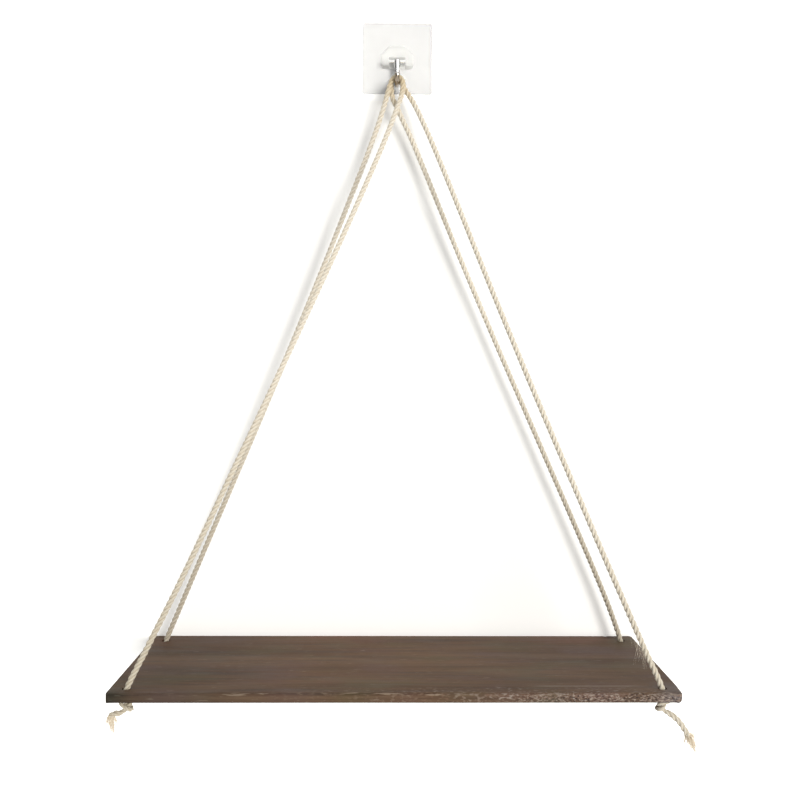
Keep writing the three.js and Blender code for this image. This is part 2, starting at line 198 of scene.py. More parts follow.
def ranged(tree, value, low, high, to_low=0.0, to_high=1.0):
    return add(tree, "MapRange", {"Value": value, "From Min": low, "From Max": high,
                                  "To Min": to_low, "To Max": to_high}).outputs[0]


def mixed(tree, share, first, second, blend_type="MIX"):
    return add(tree, "MixRGB", {"Fac": share, "Color1": first, "Color2": second},
               blend_type=blend_type).outputs[0]


def bumped(tree, height, distance, strength=1.0):
    return add(tree, "Bump", {"Height": height, "Distance": distance, "Strength": strength}).outputs[0]


def clear_material(name, tint, roughness, haze, clearness, bending=1.4):
    """Clear plastic or gel. Light from the lamps goes through it, so the wall behind stays white."""
    material, tree, shader = new_material(name)
    place = on_object(tree, (1, 1, 1))
    smears = speckle(tree, place, 60, 4)
    tone = mixed(tree, smears, (*[0.96 * level for level in tint], 1), (*tint, 1))
    rough = ranged(tree, speckle(tree, place, 240, 3), 0.35, 0.7, roughness, roughness + haze)
    put(tree, shader, Base_Color=tone, Roughness=rough, IOR=bending, Transmission_Weight=clearness,
        Normal=bumped(tree, smears, 0.0002, 0.3))
    lamps = add(tree, "LightPath").outputs["Is Shadow Ray"]
    passing = add(tree, "BsdfTransparent", {"Color": (0.96, 0.96, 0.955, 1)})
    both = add(tree, "MixShader", {0: lamps, 1: shader.outputs[0], 2: passing.outputs[0]})
    tree.links.new(both.outputs[0], tree.nodes["Material Output"].inputs["Surface"])
    return material


def add_piece(name, bm, material, body, replaced, crease=35):
    """Turn a finished shape into a named piece that rides on its body."""
    mesh = bpy.data.meshes.new(name)
    bm.to_mesh(mesh)
    bm.free()
    mesh.materials.append(material)
    mesh.shade_smooth()
    mesh.set_sharp_from_angle(angle=math.radians(crease))
    piece = link_object(name, mesh)
    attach(piece, body)
    if replaced:
        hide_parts(*replaced)
    return piece


def corner_edges(bm, along):
    """The edges that run along an axis."""
    return [edge for edge in bm.edges
            if abs((edge.verts[0].co - edge.verts[1].co).normalized()[along]) > 0.99]


def round_edges(bm, edges, radius, segments):
    bmesh.ops.bevel(bm, geom=edges, offset=radius, offset_type="OFFSET", segments=segments,
                    profile=0.5, affect="EDGES", material=-1, clamp_overlap=True)


def square_sheet(side, back, thickness, corner, ease):
    bm = bmesh.new()
    bmesh.ops.create_cube(bm, size=1)
    bmesh.ops.scale(bm, vec=(side, thickness, side), verts=bm.verts)
    bmesh.ops.translate(bm, vec=(0, back - thickness / 2, 0), verts=bm.verts)
    round_edges(bm, corner_edges(bm, 1), corner, 10)
    rims = [edge for edge in bm.edges if edge.calc_face_angle(0) > math.radians(60)]
    round_edges(bm, rims, ease, 3)
    return bm


pad_side, pad_thickness = 0.0584, 0.0006
pad_margin = 0.00002
sheet_corner = 0.002
gel = clear_material("gel", (0.97, 0.97, 0.955), 0.12, 0.25, 0.8)
pad = square_sheet(pad_side, -pad_margin, pad_thickness - pad_margin * 2, sheet_corner, 0.0001)
add_piece("pad", pad, gel, "wall_plate", ["adhesive_pad"])

# The wall plate: a 60 mm square of clear moulded plastic, 1 mm thick, with small corner radii and
# rounded edges in front and behind.
plate_side, plate_thickness, plate_ease = 0.06, 0.001, 0.0003
plate_front = -pad_thickness - plate_thickness
plate_plastic = clear_material("plate_plastic", (0.645, 0.645, 0.652), 0.05, 0.1, 0.7, 1.2)
plate = square_sheet(plate_side, -pad_thickness, plate_thickness, sheet_corner, plate_ease)
add_piece("plate", plate, plate_plastic, "wall_plate", ["hook_plate"])

# The boss: a clear moulded block on the plate. Its top corners are cut off at 45 degrees. The hook's
# crossbar lies in a slot across its lower front, with its ends in two blind bores.

def outline_block(outline, back, front):
    """A block from an outline in the plane of the wall."""
    bm = bmesh.new()
    corners = [bm.verts.new((x, back, z)) for x, z in outline]
    face = bm.faces.new(corners)
    pushed = bmesh.ops.extrude_face_region(bm, geom=[face])
    moved = [item for item in pushed["geom"] if isinstance(item, bmesh.types.BMVert)]
    bmesh.ops.translate(bm, vec=(0, front - back, 0), verts=moved)
    bmesh.ops.recalc_face_normals(bm, faces=bm.faces)
    return bm


def boolean(bm, tools, operation="DIFFERENCE"):
    """Cut shapes out of a shape, or join them to it, and return the result."""
    made = []
    for shape in (bm, *tools):
        mesh = bpy.data.meshes.new("shape")
        shape.to_mesh(mesh)
        shape.free()
        made.append(link_object("shape", mesh))
    for tool in made[1:]:
        step = made[0].modifiers.new("step", "BOOLEAN")
        step.operation = operation
        step.solver = "EXACT"
        step.object = tool
    evaluated = made[0].evaluated_get(bpy.context.evaluated_depsgraph_get())
    result = bmesh.new()
    result.from_mesh(bpy.data.meshes.new_from_object(evaluated))
    for item in made:
        bpy.data.meshes.remove(item.data)
    bmesh.ops.remove_doubles(result, verts=result.verts, dist=1e-6)
    return result


def rod(radius, length, middle, turn, sides=48):
    bm = bmesh.new()
    bmesh.ops.create_cone(bm, cap_ends=True, segments=sides, radius1=radius, radius2=radius,
                          depth=length, matrix=Matrix.Translation(middle) @ turn)
    return bm


def sharp_edges(bm, degrees=40):
    return [edge for edge in bm.edges if edge.calc_face_angle(0) > math.radians(degrees)]


boss_half_width, boss_top, boss_foot = 0.01375, 0.0075, -0.009
boss_front = -0.0106
boss_cut, boss_foot_cut, boss_round = 0.0074, 0.0015, 0.0009
slot_half_width, slot_back, slot_top, slot_round = 0.0069, -0.0036, -0.0014, 0.001
overrun = 0.002
hair_line = 1e-5
pin_y, pin_z, pin_radius = -0.0072, -0.004, 0.0019
bore_reach, bore_clearance = 0.01125, 0.0003
along_x = Matrix.Rotation(math.pi / 2, 4, "Y")

boss_block = outline_block([
    (boss_half_width - boss_foot_cut, boss_foot), (boss_half_width, boss_foot + boss_foot_cut),
    (boss_half_width, boss_top - boss_cut), (boss_half_width - boss_cut, boss_top),
    (boss_cut - boss_half_width, boss_top), (-boss_half_width, boss_top - boss_cut),
    (-boss_half_width, boss_foot + boss_foot_cut), (boss_foot_cut - boss_half_width, boss_foot),
], plate_front, boss_front)
boss_rims = [edge for edge in boss_block.edges
             if min(vert.co.y for vert in edge.verts) < boss_front + hair_line]
round_edges(boss_block, boss_rims, boss_round, 4)
slot_block = outline_block([
    (-slot_half_width, boss_foot - overrun), (slot_half_width, boss_foot - overrun),
    (slot_half_width, slot_top), (-slot_half_width, slot_top),
], slot_back, boss_front - overrun)
slot_top_edges = [edge for edge in corner_edges(slot_block, 1)
                  if edge.verts[0].co.z > slot_top - hair_line]
round_edges(slot_block, slot_top_edges, slot_round, 5)
bore_rod = rod(pin_radius + bore_clearance, bore_reach * 2, (0, pin_y, pin_z), along_x)
boss = boolean(boss_block, [slot_block, bore_rod])
boss_plastic = clear_material("boss_plastic", (0.87, 0.87, 0.855), 0.06, 0.08, 0.55, 1.2)
add_piece("boss", boss, boss_plastic, "wall_plate", ["hook_boss"], 25)

# The hook: 4.2 mm bright plated steel wire, bent to a J, with a thicker collar under its crossbar. It can
# swing up and out in the boss. Its crossbar and collar carry a painted highlight, the flanks of its lower
# part a painted dark reflection, and its bend a painted brown reflection and shade of the ropes.
wire_radius = 0.0021
collar_radius, collar_top, collar_end = 0.003, pin_z + 0.0006, pin_z - 0.008
bend_radius = 0.0052
hook_low = -0.0255
bend_z = hook_low + bend_radius
tip_y = -0.0233
tip_z = bend_z + 0.0003

hook = bmesh.new()
bmesh.ops.create_circle(hook, cap_ends=True, segments=32, radius=collar_radius,
                        matrix=Matrix.Translation((0, pin_y, collar_top)))


def push_ring(bm, ring, step, middle, scale=1.0):
    """Extrude a ring of edges, move it and scale it about its new middle."""
    pushed = bmesh.ops.extrude_edge_only(bm, edges=ring)["geom"]
    verts = [item for item in pushed if isinstance(item, bmesh.types.BMVert)]
    bmesh.ops.translate(bm, vec=step, verts=verts)
    bmesh.ops.scale(bm, vec=(scale, scale, scale), space=Matrix.Translation(-middle), verts=verts)
    return [item for item in pushed if isinstance(item, bmesh.types.BMEdge)]


ring = list(hook.edges)
last_radius, last_z = collar_radius, collar_top
for share in (0.02, 0.3, 0.42, 0.54, 0.66, 0.78, 0.9, 1.0):
    narrowing = 0.5 + 0.5 * math.cos(math.pi * max(0, share - 0.25) / 0.75)
    radius = wire_radius + (collar_radius - wire_radius) * narrowing
    z = pin_z + (collar_end - pin_z) * share
    ring = push_ring(hook, ring, (0, 0, z - last_z), Vector((0, pin_y, z)), radius / last_radius)
    last_radius, last_z = radius, z
ring = push_ring(hook, ring, (0, 0, bend_z - last_z), Vector((0, pin_y, bend_z)))


def spin_ring(bm, ring, centre, steps):
    turned = bmesh.ops.spin(bm, geom=ring, cent=centre, axis=(1, 0, 0), dvec=(0, 0, 0),
                            angle=-math.pi / 2, steps=steps, use_merge=False, use_duplicate=False)
    return [item for item in turned["geom_last"] if isinstance(item, bmesh.types.BMEdge)]


ring = spin_ring(hook, ring, (0, pin_y - bend_radius, bend_z), 12)
flat = tip_y + bend_radius - (pin_y - bend_radius)
ring = push_ring(hook, ring, (0, flat, 0), Vector((0, tip_y + bend_radius, hook_low)))
ring = spin_ring(hook, ring, (0, tip_y + bend_radius, bend_z), 12)
ring = push_ring(hook, ring, (0, 0, tip_z - bend_z), Vector((0, tip_y, tip_z)))
for step in range(1, 7):
    start, end = (math.pi / 2 * turn / 6.3 for turn in (step - 1, step))
    rise = wire_radius * 0.9 * (math.sin(end) - math.sin(start))
    tip_z += rise
    ring = push_ring(hook, ring, (0, 0, rise), Vector((0, tip_y, tip_z)), math.cos(end) / math.cos(start))
bmesh.ops.edgeloop_fill(hook, edges=ring)
bmesh.ops.recalc_face_normals(hook, faces=hook.faces)
crossbar = rod(pin_radius, (bore_reach - bore_clearance) * 2, (0, pin_y, pin_z), along_x)
round_edges(crossbar, sharp_edges(crossbar), 0.0004, 3)
hook = boolean(hook, [crossbar], "UNION")


def times(tree, *shares):
    """The product of several shares."""
    total = shares[0]
    for share in shares[1:]:
        total = add(tree, "Math", {0: total, 1: share}, operation="MULTIPLY").outputs[0]
    return total


painted_bright_bar_metal, dull_metal, bright_metal = (0.93, 0.93, 0.92, 1), (0.74, 0.74, 0.74, 1), (0.85, 0.85, 0.84, 1)
painted_flank_reflection, painted_rope_reflection = (0.16, 0.14, 0.12, 1), (0.3, 0.24, 0.17, 1)
chrome, tree, shader = new_material("chrome")
rubbed = speckle(tree, on_object(tree, (400, 400, 60)), 1, 5)
cloudy = speckle(tree, on_object(tree, (1, 1, 1)), 180, 3)
place = add(tree, "SeparateXYZ", {0: on_object(tree, (1, 1, 1))}).outputs
sideways = add(tree, "Math", {0: place[0]}, operation="ABSOLUTE").outputs[0]
tone = mixed(tree, cloudy, dull_metal, bright_metal)
# Painted highlight: the crossbar and collar are given brighter metal.
tone = mixed(tree, ranged(tree, place[2], -0.008, -0.006), tone, painted_bright_bar_metal)
# Painted dark reflection on the flanks of the wire's lower part.
flank_reflection_tone = mixed(tree, ranged(tree, sideways, 0.0008, 0.0016), pure_white, painted_flank_reflection)
tone = mixed(tree, ranged(tree, place[2], -0.0115, -0.0135), tone, flank_reflection_tone, "MULTIPLY")
# Painted brown reflection and shade of the ropes at the hook's bend.
rope_reflection_share = times(tree, ranged(tree, cloudy, 0.3, 0.6, 0.55, 0.95), ranged(tree, place[2], -0.0185, -0.0215))
tone = mixed(tree, rope_reflection_share, tone, painted_rope_reflection)
put(tree, shader, Metallic=1.0, Base_Color=tone,
    Roughness=ranged(tree, rubbed, 0.3, 0.75, 0.1, 0.28),
    Normal=bumped(tree, rubbed, 0.00002, 0.4))
add_piece("hook", hook, chrome, "hook", ["steel_hook"], 30)

# The board: a 7 mm plank of dark stained wood, 415 by 140 mm, with a 6.6 mm hole near each corner. Its
# front edge is worn and chipped, most of all on the right, and its right front corner is knocked round.
board_half, board_depth, board_thickness = 0.2075, 0.14, 0.007
board_top, board_rear = -0.498, -0.0003
board_front = board_rear - board_depth
board_low = board_top - board_thickness
hole_radius = 0.0033
hole_x, front_hole_y, rear_hole_y = 0.1955, board_front + 0.011, board_rear - 0.0135

board_middle_y = board_rear - board_depth / 2
board_edge_ease = 0.0006
board = bmesh.new()
bmesh.ops.create_cube(board, size=1)
bmesh.ops.scale(board, vec=(board_half * 2, board_depth, board_thickness), verts=board.verts)
bmesh.ops.translate(board, vec=(0, board_middle_y, board_top - board_thickness / 2), verts=board.verts)
for x_side, y_side, radius in ((1, -1, 0.004), (-1, -1, 0.0014), (1, 1, 0.0022), (-1, 1, 0.002)):
    corner = [edge for edge in corner_edges(board, 2)
              if edge.verts[0].co.x * x_side > 0 and (edge.verts[0].co.y - board_middle_y) * y_side > 0]
    round_edges(board, corner, radius, 8)
holes = [rod(hole_radius, board_thickness * 3, (side * hole_x, y, board_top), Matrix.Identity(4), 40)
         for y in (front_hole_y, rear_hole_y) for side in (-1, 1)]
board = boolean(board, holes)
round_edges(board, sharp_edges(board), board_edge_ease, 3)


def slice_across(bm, axis, low, high, steps):
    """Cut a shape into slices of even width, so that it can be worn and warped."""
    normal = Vector([float(axis == item) for item in range(3)])
    for step in range(1, steps):
        place = normal * (low + (high - low) * step / steps)
        bmesh.ops.bisect_plane(bm, geom=bm.verts[:] + bm.edges[:] + bm.faces[:], dist=1e-7,
                               plane_co=place, plane_no=normal)


worn_strip = 0.008
slice_across(board, 0, -board_half, board_half, 240)
slice_across(board, 1, board_front, board_front + worn_strip, 8)
slice_across(board, 1, board_front + worn_strip, board_rear, 40)
slice_across(board, 2, board_low, board_top, 6)


def round_off(place, corner, inwards, radius):
    """Where a point beside a sharp edge lies once the edge is rounded, or None if it stays. All is given
    across the edge, and inwards says on which side of the corner the board lies."""
    first_in, second_in = (way * radius for way in inwards)
    across = Vector((place[0] - corner[0] - first_in, place[1] - corner[1] - second_in))
    if across.x * first_in < 0 and across.y * second_in < 0 and across.length > radius:
        across = across.normalized() * radius
        return corner[0] + first_in + across.x, corner[1] + second_in + across.y


skin = 0.0008
grain_relief, hollow_relief, calm_ring = 0.00005, 0.00008, 0.002
top_arris, top_arris_wave, low_arris = 0.002, 0.0005, 0.001
knock, knock_length = 0.0042, 0.02
wear_depth, wear_height = 0.0045, 0.0035
bite_drop, bite_depth = 0.0009, 0.0008
rough_depth, rough_lift, grain_depth = 0.00022, 0.00012, 0.00006
rear_wear_depth, rear_wear_half, rear_wear_x, rear_wear_drop = 0.004, 0.02, 0.187, 0.0009

for vert in board.verts:
    x, y, z = vert.co
    grain = noise.noise(Vector((x * 9, y * 260, z * 260)))
    hollow = noise.noise(Vector((x * 6, y * 22, 3.7)))
    near_hole = min((Vector((x, y)) - Vector((side * hole_x, hole_y))).length
                    for side in (-1, 1) for hole_y in (front_hole_y, rear_hole_y))
    calm = min(1, max(0, (near_hole - hole_radius) / calm_ring))
    facing_up = z > board_top - skin
    if facing_up or z < board_low + skin:
        vert.co.z += (grain * grain_relief + hollow * hollow_relief) * calm
    wave = noise.noise(Vector((x * 38, 1.7, 4.1))) + noise.noise(Vector((x * 150, 6.2, 1.3))) * (x > 0.02)
    for level, upwards, radius in ((board_top, -1, top_arris + top_arris_wave * wave),
                                   (board_low, 1, low_arris)):
        rounded = round_off((y, z), (board_front, level), (1, upwards), radius)
        if rounded:
            vert.co.y, vert.co.z = rounded
    knocked = knock * max(0, 1 - (y - board_front) / knock_length)
    for level, upwards, radius in ((board_low, 1, knocked), (board_top, -1, knocked * 0.5)):
        rounded = round_off((x, z), (board_half, level), (-1, upwards), radius)
        if rounded:
            vert.co.x, vert.co.z = rounded
    front_share = max(0, 1 - (y - board_front) / wear_depth)
    if front_share > 0:
        right_share = min(1, max(0, (x + 0.06) / 0.16))
        rough = noise.noise(Vector((x * 420, y * 300, z * 420)))
        chip = max(0, noise.noise(Vector((x * 75, 5.1, 2.3))) - 0.22) * 2
        nick = max(0, noise.noise(Vector((x * 260, 9.4, z * 60))) - 0.3) * 2.2
        high_share = max(0, 1 - (board_top - z) / wear_height)
        bite = (chip * (0.35 + 0.9 * right_share) + nick * 0.5) * front_share * high_share
        vert.co.z -= bite * bite_drop
        vert.co.y += bite * bite_depth
        vert.co.y += (rough * rough_depth * right_share + grain_depth * grain) * front_share
        vert.co.z += rough * rough_lift * right_share * front_share * calm * facing_up
    rear_rough = (max(0, 1 - (board_rear - y) / rear_wear_depth)
                  * max(0, 1 - abs(x - rear_wear_x) / rear_wear_half))
    if rear_rough > 0 and facing_up:
        vert.co.z -= rear_rough * max(0, noise.noise(Vector((x * 300, y * 300, 8)))) * rear_wear_drop
bmesh.ops.recalc_face_normals(board, faces=board.faces)


def layered(tree, tone, *layers, blend_type="MIX"):
    """Lay colours over a tone one after the other, each given with its share."""
    for share, colour in layers:
        tone = mixed(tree, share, tone, (*colour, 1), blend_type)
    return tone


def window(tree, value, low, high, soft):
    """1 between two values and 0 beyond them, with soft ends."""
    rise = ranged(tree, value, low - soft, low + soft)
    fall = ranged(tree, value, high + soft, high - soft)
    return times(tree, rise, fall)


deep_brown, mid_brown = (0.072, 0.0405, 0.024, 1), (0.134, 0.082, 0.051, 1)
pale_streak, dark_streak, pore_black = (0.17, 0.11, 0.07), (0.045, 0.027, 0.0175), (0.03, 0.021, 0.016)
rear_red, streak_red, rear_brown = (0.15, 0.07, 0.046), (0.13, 0.067, 0.046), (0.14, 0.07, 0.045)
worn_grey, corner_grey = (0.12, 0.098, 0.083), (0.115, 0.096, 0.096)
olive, plum = (0.1, 0.083, 0.045), (0.11, 0.066, 0.058)
dash_tan, scratch_tan, arris_tan = (0.24, 0.18, 0.13), (0.24, 0.19, 0.145), (0.27, 0.215, 0.165)
patch_black, grit_black, painted_foot_shade = (0.028, 0.018, 0.014), (0.03, 0.022, 0.02), (0.03, 0.022, 0.018)
bare_wood, rubbed_brown, grit_pale = (0.27, 0.215, 0.17, 1), (0.17, 0.1, 0.068, 1), (0.33, 0.27, 0.22)

wood, tree, shader = new_material("stained_wood")
place = add(tree, "TexCoord").outputs["Object"]
xyz = add(tree, "SeparateXYZ", {0: place}).outputs
bands = speckle(tree, on_object(tree, (3.5, 42, 42)), 1, 3, 0.6)
streaks = speckle(tree, on_object(tree, (11, 330, 330)), 1, 5, 0.3)
pores = speckle(tree, on_object(tree, (70, 1700, 1700)), 1, 2)
patches = speckle(tree, on_object(tree, (9, 20, 20)), 1, 3)
red_streaks = speckle(tree, on_object(tree, (6, 70, 70)), 1.3, 2)
grey_patches = speckle(tree, on_object(tree, (14, 34, 34)), 1.7, 4)
hues = speckle(tree, on_object(tree, (16, 30, 30)), 1, 3)
dashes = speckle(tree, on_object(tree, (95, 900, 900)), 1, 2)
red_rear = times(tree, ranged(tree, xyz[1], -0.05, -0.012), ranged(tree, patches, 0.42, 0.62))
tone = mixed(tree, ranged(tree, bands, 0.35, 0.65), deep_brown, mid_brown)
tone = layered(
    tree, tone,
    (ranged(tree, streaks, 0.5, 0.72, 0, 0.55), pale_streak),
    (ranged(tree, streaks, 0.47, 0.3, 0, 0.75), dark_streak),
    (ranged(tree, red_rear, 0, 1, 0, 0.6), rear_red),
    (ranged(tree, red_streaks, 0.58, 0.7, 0, 0.35), streak_red),
    (ranged(tree, grey_patches, 0.5, 0.75, 0, 0.35), worn_grey),
    (ranged(tree, pores, 0.62, 0.72, 0, 0.55), pore_black),
    (ranged(tree, hues, 0.52, 0.66, 0, 0.4), olive),
    (ranged(tree, hues, 0.46, 0.34, 0, 0.4), plum),
    (ranged(tree, dashes, 0.66, 0.72, 0, 0.5), dash_tan))

brown_rear = times(tree, window(tree, xyz[1], -0.022, -0.007, 0.003), ranged(tree, patches, 0.3, 0.5),
                   ranged(tree, xyz[0], 0.12, 0.15, 0.3, 0.8), window(tree, xyz[0], -0.12, 0.183, 0.01))
# A near-black patch on the top, just behind the rear right hole.
dark_patch_behind_rear_hole = times(tree, window(tree, xyz[0], 0.181, 0.199, 0.004), ranged(tree, xyz[1], -0.012, -0.004),
                   ranged(tree, speckle(tree, place, 700, 3), 0.42, 0.56, 0.2, 0.9))
corner = times(tree, ranged(tree, xyz[0], 0.186, 0.199),
               ranged(tree, xyz[1], board_front + 0.03, board_front + 0.014), 0.55)
scratch = times(tree, window(tree, xyz[1], board_front + 0.0148, board_front + 0.0166, 0.0004),
                window(tree, xyz[0], 0.105, 0.18, 0.006), ranged(tree, streaks, 0.35, 0.55, 0.1, 0.7))
tone = layered(tree, tone, (brown_rear, rear_brown), (dark_patch_behind_rear_hole, patch_black), (corner, corner_grey),
               (scratch, scratch_tan))

rightwards = ranged(tree, xyz[0], -0.1, 0.1, 0.04, 1)
flecks = ranged(tree, speckle(tree, on_object(tree, (260, 520, 520)), 1, 3), 0.53, 0.64)
drift = ranged(tree, speckle(tree, on_object(tree, (30, 60, 60)), 1, 3), 0.3, 0.7, -0.005, 0.005)
depth = add(tree, "Math", {0: xyz[1], 1: drift}).outputs[0]
worn = times(tree, ranged(tree, depth, board_front + 0.017, board_front + 0.001), rightwards, flecks)
fleck_tone = mixed(tree, ranged(tree, speckle(tree, on_object(tree, (90, 160, 160)), 1, 2), 0.42, 0.66),
                   bare_wood, rubbed_brown)
tone = mixed(tree, times(tree, worn, 0.8), tone, fleck_tone)
# Painted shade: the front face is darkened, most towards the left end, and scaled lighter towards the right.
face = ranged(tree, xyz[1], board_front + 0.0028, board_front + 0.0004)
lift = mixed(tree, ranged(tree, xyz[0], -0.19, -0.05), (0.82, 0.9, 0.94, 1), (0.9, 0.92, 0.94, 1))
lift = mixed(tree, ranged(tree, xyz[0], 0.03, 0.13), lift, (1.28, 1.36, 1.48, 1))
tone = mixed(tree, face, tone, lift, "MULTIPLY")

grains = speckle(tree, on_object(tree, (520, 1100, 1100)), 1, 3)
gritty = times(tree, face, ranged(tree, xyz[0], 0.06, 0.13))
arris = times(tree, ranged(tree, xyz[1], board_front + 0.003, board_front + 0.0018),
              ranged(tree, xyz[2], board_top - 0.0022, board_top - 0.0012))
arris_specks = speckle(tree, on_object(tree, (75, 620, 620)), 1, 3)
worn_lines = times(tree, ranged(tree, arris_specks, 0.56, 0.66, 0, 0.7),
                   ranged(tree, xyz[0], -0.17, -0.1, 0.1, 1))
tone = layered(
    tree, tone,
    (times(tree, gritty, ranged(tree, grains, 0.56, 0.62, 0, 0.85)), grit_pale),
    (times(tree, gritty, ranged(tree, grains, 0.44, 0.38, 0, 0.85)), grit_black),
    (times(tree, arris, worn_lines), arris_tan))
dark_end = times(tree, ranged(tree, xyz[0], -0.188, -0.203),
                 ranged(tree, xyz[1], board_front + 0.012, board_front + 0.002))
tone = layered(tree, tone, (dark_end, (0.55, 0.7, 0.72)), blend_type="MULTIPLY")
# Painted shade along the bottom of the front face.
front_foot_shade = times(tree, face, ranged(tree, xyz[2], board_low + 0.0011, board_low + 0.0004, 0, 0.7))
tone = layered(tree, tone, (front_foot_shade, painted_foot_shade))
tone = layered(tree, tone, (ranged(tree, xyz[0], -0.08, -0.2), (0.86, 0.86, 0.86)),
               (window(tree, xyz[0], -0.11, 0.06, 0.05), (1.18, 1.12, 1.03)), blend_type="MULTIPLY")
put(tree, shader, Base_Color=tone, Roughness=ranged(tree, streaks, 0.3, 0.7, 0.5, 0.72),
    Specular_IOR_Level=0.12, Normal=bumped(tree, mixed(tree, 0.35, streaks, pores), 0.0004, 0.5))
add_piece("board", board, wood, "shelf", ["shelf_board"], 50)

# The left rope: 4.5 mm natural rope of three strands, laid to the right. It runs in one length from the
# knot under the front left hole over the hook to the knot under the rear left hole.
rope_width = 0.0045
lay_length = 0.0135
ring_step = 0.00075
upright = Vector((0, 0, 1))


def smooth_line(places, step):
    """Points an even step apart, on a smooth line through every place."""
    ends = [places[0] * 2 - places[1], *places, places[-1] * 2 - places[-2]]
    fine = []
    for before, start, end, after in zip(ends, ends[1:], ends[2:], ends[3:]):
        first, middle, last = (math.sqrt((b - a).length)
                               for a, b in ((before, start), (start, end), (end, after)))
        leave = ((start - before) / first - (end - before) / (first + middle)
                 + (end - start) / middle) * middle
        arrive = ((end - start) / middle - (after - start) / (middle + last)
                  + (after - end) / last) * middle
        fine += interpolate_bezier(start, start + leave / 3, end - arrive / 3, end, 13)[:-1]
    fine.append(places[-1])
    travelled = [0.0]
    for start, end in zip(fine, fine[1:]):
        travelled.append(travelled[-1] + (end - start).length)
    count = round(travelled[-1] / step)
    points, at = [], 0
    for number in range(count + 1):
        goal = travelled[-1] * number / count
        while at < len(fine) - 2 and travelled[at + 1] < goal:
            at += 1
        share = (goal - travelled[at]) / (travelled[at + 1] - travelled[at])
        points.append(fine[at].lerp(fine[at + 1], share))
    return points


def curve_to_shape(curve_data):
    """The closed tube round a curve, as a shape, with its length and girth as a UV map."""
    carrier = link_object("carrier", curve_data)
    evaluated = carrier.evaluated_get(bpy.context.evaluated_depsgraph_get())
    bm = bmesh.new()
    bm.from_mesh(bpy.data.meshes.new_from_object(evaluated))
    bpy.data.objects.remove(carrier)
    bmesh.ops.remove_doubles(bm, verts=bm.verts, dist=1e-7)
    bmesh.ops.recalc_face_normals(bm, faces=bm.faces)
    return bm


section_data = bpy.data.curves.new("strand_section", "CURVE")
section_data.dimensions = "2D"
section_line = section_data.splines.new("POLY")
section_sides = 27
section_line.points.add(section_sides - 1)
section_line.use_cyclic_u = True
strand_radius, strand_offset = rope_width * 0.26, rope_width * 0.24
for side, point in enumerate(section_line.points):
    turn = math.tau * side / section_sides
    from_strand = (turn + math.pi / 3) % (math.tau / 3) - math.pi / 3
    reach = (strand_offset * math.cos(from_strand)
             + math.sqrt(strand_radius ** 2 - (strand_offset * math.sin(from_strand)) ** 2))
    point.co = (reach * math.cos(turn), reach * math.sin(turn), 0, 1)
strand_section = link_object("strand_section", section_data)


def rope_shape(name, points, widths):
    """A three-strand rope along its points. Widths are shares of its full width, for where it is squeezed."""
    data = bpy.data.curves.new(name, "CURVE")
    data.dimensions = "3D"
    data.twist_smooth = 4
    data.bevel_mode = "OBJECT"
    data.bevel_object = strand_section
    data.use_fill_caps = True
    line = data.splines.new("POLY")
    line.points.add(len(points) - 1)
    travelled = 0
    for number, (point, place, width) in enumerate(zip(line.points, points, widths)):
        travelled += (place - points[number - 1]).length if number else 0
        point.co = (*place, 1)
        point.radius = width
        point.tilt = math.tau * (travelled / lay_length % 1)
    return curve_to_shape(data)


knot_squeeze, squeeze_start, squeeze_fade = 0.72, 0.0052, 0.003
knot_pitch, knot_half_height = 0.003351, 0.0046
rope_gap = 0.0003
knot_course = (
    (0, 0.95, 0), (31, 1.08, -0.315), (60, 1.155, -0.665), (92, 1.155, -0.91), (129, 1.145, -0.97),
    (165, 1.155, -0.81), (194, 1.155, -0.46), (218, 0.925, -0.05), (243, 0.46, 0.305), (260, 0.065, 0.78),
)
tail_places = {
    ("front", -1): (158, ((0, 0, 0), (-0.42, -0.05, 0.4), (-1.1, -0.12, 0.68), (-1.85, -0.18, 0.8),
                          (-2.35, -0.2, 1.02), (-2.42, -0.2, 1.35))),
    ("front", 1): (-38, ((0, 0, 0), (0.45, -0.06, 0.46), (1.32, -0.2, 0.95), (2.22, -0.33, 1.65),
                         (2.95, -0.44, 2.5), (3.55, -0.5, 3.4), (4.1, -0.55, 4.3))),
    ("rear", -1): (150, ((0, 0, 0), (-0.42, 0, 0.45), (-1, 0.02, 1.05), (-1.5, 0.04, 1.85),
                         (-1.8, 0.05, 2.7))),
    ("rear", 1): (-30, ((0, 0, 0), (0.42, 0, 0.45), (1.1, 0.02, 1), (1.9, 0.04, 1.6), (2.6, 0.05, 2.4))),
}


def knot_and_tail(row, side):
    """The stopper knot and the tail under a hole, from the hole down to the cut end."""
    angle, steps = tail_places[row, side]
    hole_y = front_hole_y if row == "front" else rear_hole_y
    centre = Vector((side * hole_x, hole_y, board_low - rope_gap - knot_half_height))
    half = []
    for degrees, radius_share, height_share in knot_course:
        turn = math.pi / 2 + math.radians(degrees)
        half.append(Vector((radius_share * math.cos(turn), radius_share * math.sin(turn), height_share))
                    * knot_pitch)
    lower = [Vector((-x, y, -z)) for x, y, z in reversed(half[1:])]
    course = [*lower, *half, Vector((0, 0, knot_half_height))]
    turned = Matrix.Rotation(math.radians(angle), 3, "Z")
    knot = [turned @ place + centre for place in reversed(course)]
    outwards = (knot[-1] - knot[-2]).normalized()
    root = knot[-1] + outwards * rope_gap
    tail = [root + Vector((right, rearwards, -down)) * rope_width for right, rearwards, down in steps]
    return knot, tail[1:]


seat_radius, bend_end, leg_lead = 0.00465, 0.0043, 0.0015
hole_lean = 0.0006
hole_rows = {"front": front_hole_y, "rear": rear_hole_y}


